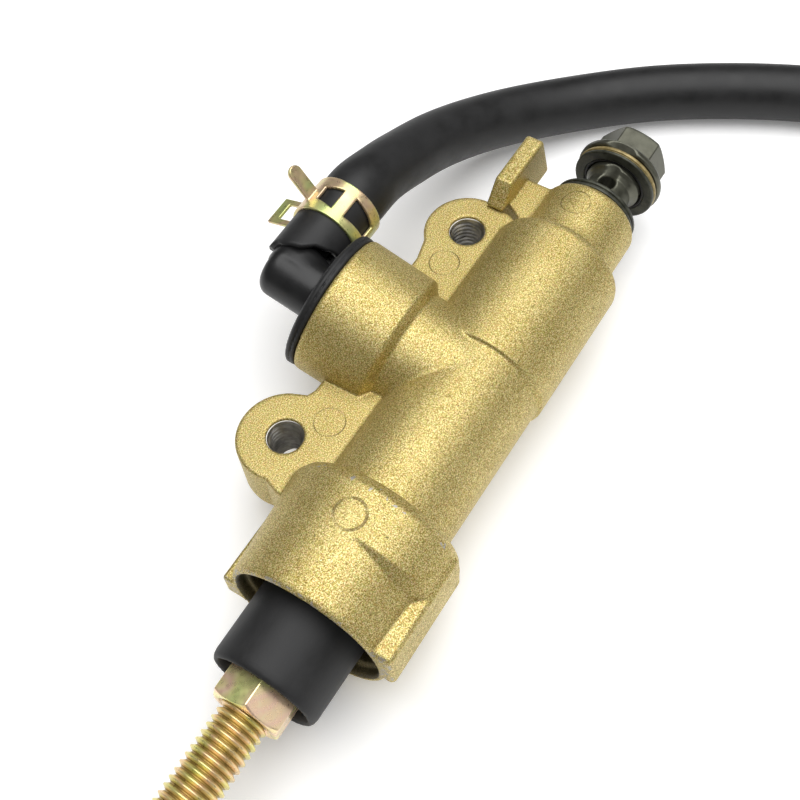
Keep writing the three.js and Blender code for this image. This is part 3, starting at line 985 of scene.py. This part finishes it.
def elbow_field(x, y, z):
    along, across, up = port_frame(x, y, z)
    from_port = np.hypot(across, up)
    spigot = polygon(along, from_port, mirrored(ELBOW_SPIGOT))
    leg = np.hypot(across * 0.98, up) - ELBOW_LEG_RADIUS
    leg = drawn(leg, along, 26, ELBOW_CORNER + 4.1, 2.2)
    tail = turned(x, y, z, ELBOW_TAIL, (LEG_Y, LEG_Z))
    whole = smooth_union(smooth_union(spigot, leg, 0.6), tail, 1.2)
    way = drawn(from_port - ELBOW_WAY_RADIUS, along, 15, ELBOW_CORNER, 0.1)
    tail_way = np.hypot(y - LEG_Y, z - LEG_Z) - ELBOW_WAY_RADIUS
    way = np.minimum(way, drawn(tail_way, x, PORT_X, 70, 0.1))
    return smooth_cut(whole, way, 0.2)


def cover_field(x, y, z):
    along, across, up = port_frame(x, y, z)
    return polygon(along, np.hypot(across, up), COVER_OUTLINE)


CLAMP_X = (57.7, 65.3)
CLAMP_INNER = 5.85
CLAMP_OUTER = 6.5
# Holes in the band: first and last angle in degrees, and which way they widen.
CLAMP_WINDOWS = ((69, 100, 1.0), (123, 177, -1.0))
TANG_X = 60.7
TANG_HALF_WIDTH = 1.4
TANG_TIP = 11.3
TANG_ANGLE = math.radians(54)
LOOP_ANGLE = math.radians(-17)
# Lowest and highest corner as x, distance from the hose's axis and thickness.
LOOP_PLATE = ((57.5, 5.9, -0.32), (63.4, 13.2, 0.32))
LOOP_EYE = ((58.7, 7.2, -2), (62.3, 11.4, 2))


def clamp_window(x, angle, start, end, widening):
    """A hole in the band between two angles, wider at one end."""
    turn = (angle - (start + end) / 2) % 360
    turn = np.where(turn > 180, turn - 360, turn)
    along = np.radians(turn) * CLAMP_OUTER
    half_length = math.radians(end - start) / 2 * CLAMP_OUTER
    half_width = 1.75 + widening * 0.35 * along / half_length
    return np.maximum(np.abs(along) - half_length, np.abs(x - sum(CLAMP_X) / 2) - half_width)


def plate_frame(y, z, direction):
    """Distance out along a plate that stands off the band, and across its thickness."""
    out = y * math.cos(direction) + z * math.sin(direction)
    side = -y * math.sin(direction) + z * math.cos(direction)
    return out, side


def straight_tang(x, y, z):
    out, side = plate_frame(y, z, TANG_ANGLE)
    stem = np.maximum(np.abs(x - TANG_X) - TANG_HALF_WIDTH, np.maximum(5.9 - out, out - TANG_TIP))
    tip = np.hypot(x - TANG_X, out - TANG_TIP) - TANG_HALF_WIDTH
    return drawn(np.minimum(stem, tip), side, -0.34, 0.34, 0.2)


def looped_tang(x, y, z):
    out, side = plate_frame(y, z, LOOP_ANGLE)
    plate = block(x, out, side, *LOOP_PLATE, 0.2)
    return smooth_cut(plate, block(x, out, side, *LOOP_EYE, 0.3), 0.12)


def clamp_field(x, y, z):
    y = y - LEG_Y
    z = z - LEG_Z
    away = np.hypot(y, z)
    angle = np.degrees(np.arctan2(z, y))
    band = drawn(np.maximum(away - CLAMP_OUTER, CLAMP_INNER - away), x, *CLAMP_X, 0.12)
    for window in CLAMP_WINDOWS:
        band = smooth_cut(band, clamp_window(x, angle, *window), 0.25)
    band = smooth_union(band, straight_tang(x, y, z), 0.5)
    return smooth_union(band, looped_tang(x, y, z), 0.5)


def make_inlet():
    elbow = surface("elbow_moulding", elbow_field, (38, 13.5, -6), (67, 41.5, 18), 0.28, PLASTIC)
    settle(elbow, "housing", ("inlet_elbow",))
    cover = surface("inlet_cover_disc", cover_field, (34, 22, -7), (61.6, 33.5, 20.5), 0.22, COVER)
    settle(cover, "housing", ("inlet_cover", "inlet_gasket"))
    lo, hi = (56.9, LEG_Y - 7.2, LEG_Z - 7.2), (66.0, LEG_Y + 13.8, LEG_Z + 11.6)
    clamp = surface("spring_clamp", clamp_field, lo, hi, 0.15, ZINC)
    settle(clamp, "housing", ("hose_clamp",))


# ---------------------------------------------------------------- hose


def centripetal(points, per_span):
    """Centripetal Catmull-Rom curve through the points."""
    points = np.array(points, float)
    first = 2 * points[0] - points[1]
    last = 2 * points[-1] - points[-2]
    knots = np.vstack([first, points, last])
    out = []
    for i in range(len(points) - 1):
        a, b, c, d = knots[i : i + 4]
        t = np.cumsum([0, *(np.sqrt(np.linalg.norm(q - p)) for p, q in ((a, b), (b, c), (c, d)))])
        for u in np.linspace(t[1], t[2], per_span, endpoint=False):
            ab = a + (b - a) * (u - t[0]) / (t[1] - t[0])
            bc = b + (c - b) * (u - t[1]) / (t[2] - t[1])
            cd = c + (d - c) * (u - t[2]) / (t[3] - t[2])
            abc = ab + (bc - ab) * (u - t[0]) / (t[2] - t[0])
            bcd = bc + (cd - bc) * (u - t[1]) / (t[3] - t[1])
            out.append(abc + (bcd - abc) * (u - t[1]) / (t[2] - t[1]))
    out.append(points[-1])
    return np.array(out)


def swelling(distance):
    """Extra radius where the hose is stretched over the barb and nipped by the clamp, mm along it."""
    over_barb = 0.5 / (1 + np.exp((distance - 18.5) / 1.6))
    nipped = -0.2 * np.exp(-(((distance - 9.7) / 3.6) ** 4))
    return over_barb + nipped


def cut_end(angles):
    """How far the hose's torn first end reaches back at each angle."""
    ragged = 0.3 * np.sin(5 * angles) + 0.2 * np.sin(11 * angles + 1)
    return np.maximum(3.7 * np.cos(angles - math.radians(50)), -1.5) + ragged


def make_hose():
    line = centripetal(HOSE_ROUTE, 14)
    tangent = np.gradient(line, axis=0)
    tangent /= np.linalg.norm(tangent, axis=1)[:, None]
    length = np.concatenate([[0], np.cumsum(np.linalg.norm(np.diff(line, axis=0), axis=1))])
    angles = around(40)
    side = np.array([0.0, 1.0, 0.0])
    outer, inner = [], []
    for at, centre, forward in zip(length, line, tangent):
        side = side - side.dot(forward) * forward
        side /= np.linalg.norm(side)
        up = np.cross(forward, side)
        around_line = np.cos(angles)[:, None] * side + np.sin(angles)[:, None] * up
        lean = max(0, 1 - at / 5.0) * cut_end(angles)
        outer.append(centre + around_line * (HOSE_RADIUS + swelling(at)) - lean[:, None] * forward)
        bore = HOSE_BORE + max(0.0, 1.2 * (1 - at / 1.5))
        inner.append(centre + around_line * bore - lean[:, None] * forward)
    made = loft("reservoir_hose_tube", outer + inner[::-1], HOSE, closed_rows=True)
    settle(made, "housing", ("reservoir_hose",))
    to_row(HOSE_ROUTE[0]).tolist()
    to_row(line).tolist()


# ---------------------------------------------------------------- return spring


SPRING_X = (54.6, 74.7)
SPRING_RADIUS = 5.2
SPRING_WIRE = 0.55
SPRING_TURNS = 6.0


def make_spring():
    """A coil that sits against the bore's end."""
    start, end = SPRING_X
    angles = around(12)
    rows = []
    for t in np.linspace(0, 1, 220):
        a = 2 * np.pi * SPRING_TURNS * t
        rise = (end - start - 2 * SPRING_WIRE) * np.clip((t - 0.06) / 0.88, 0, 1)
        out = np.array([0, math.cos(a), math.sin(a)])
        centre = np.array([start + SPRING_WIRE + rise, 0, 0]) + SPRING_RADIUS * out
        across = np.sin(angles)[:, None] * np.array([1.0, 0, 0])
        rows.append(centre + SPRING_WIRE * (np.cos(angles)[:, None] * out + across))
    coil = loft("return_spring_coil", rows, STEEL)
    settle(coil, "housing", ("return_spring",))
    to_row((end, 0, 0)).tolist()
    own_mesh(coil)


# ---------------------------------------------------------------- stage and light


FLOOR_HALF = 3.0
FLOOR_GLOW = 0.18
WORLD_STRENGTH = 0.08


def make_floor():
    height = to_row((0, 0, BENCH_Z - 0.02))[2]
    mesh = bpy.data.meshes.new("floor")
    corners = [(FLOOR_HALF * x, FLOOR_HALF * y, height) for x, y in ((-1, -1), (1, -1), (1, 1), (-1, 1))]
    mesh.from_pydata(corners, [], [(0, 1, 2, 3)])
    s = Shader("floor_white", (0.96, 0.96, 0.96), 0.7)
    s.set("Specular IOR Level", 0.2)
    s.set("Emission Color", (1, 1, 1, 1))
    s.set("Emission Strength", FLOOR_GLOW)
    mesh.materials.append(s.material)
    floor = bpy.data.objects.new("floor", mesh)
    bpy.context.collection.objects.link(floor)


def area_light(name, at, towards, size, power):
    data = bpy.data.lights.new(name, "AREA")
    data.shape = "RECTANGLE"
    data.size, data.size_y = size
    data.energy = power
    lamp = bpy.data.objects.new(name, data)
    lamp.location = at
    lamp.rotation_euler = (Vector(towards) - Vector(at)).to_track_quat("-Z", "Y").to_euler()
    bpy.context.collection.objects.link(lamp)


def make_light():
    """A large soft light overhead, a weak one low in front and a dim white room."""
    world = bpy.data.worlds.new("studio")
    world.use_nodes = True
    background = world.node_tree.nodes["Background"]
    background.inputs["Color"].default_value = (1, 1, 1, 1)
    background.inputs["Strength"].default_value = WORLD_STRENGTH
    bpy.context.scene.world = world
    area_light("key", (0.10, -0.055, 0.6), (0.02, -0.01, 0), (0.75, 0.75), 6.4)
    area_light("fill", (0.15, -0.55, 0.25), (0.02, 0, 0), (0.3, 0.2), 0.15)
    bpy.context.scene.view_settings.view_transform = "Standard"


# CAD pieces that are shown as they are, and their materials.
CAD_MATERIALS = {
    "piston": ALUMINIUM,
    "primary_cup": SEAL,
    "secondary_cup": SEAL,
    "spring_seat": STEEL,
    "pushrod_stop_plate": STEEL,
    "bore_circlip": STEEL,
    "inlet_o_ring": SEAL,
    "inlet_circlip": STEEL,
}

make_hose()
make_casting()
make_ear_thread("ear_thread_pushrod_end", EAR_A)
make_ear_thread("ear_thread_outlet_end", EAR_B)
make_rod_end()
make_outlet()
make_inlet()
make_spring()
for node_name, node_material in CAD_MATERIALS.items():
    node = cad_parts[node_name]
    node.data.materials.clear()
    node.data.materials.append(node_material)
make_floor()
make_light()
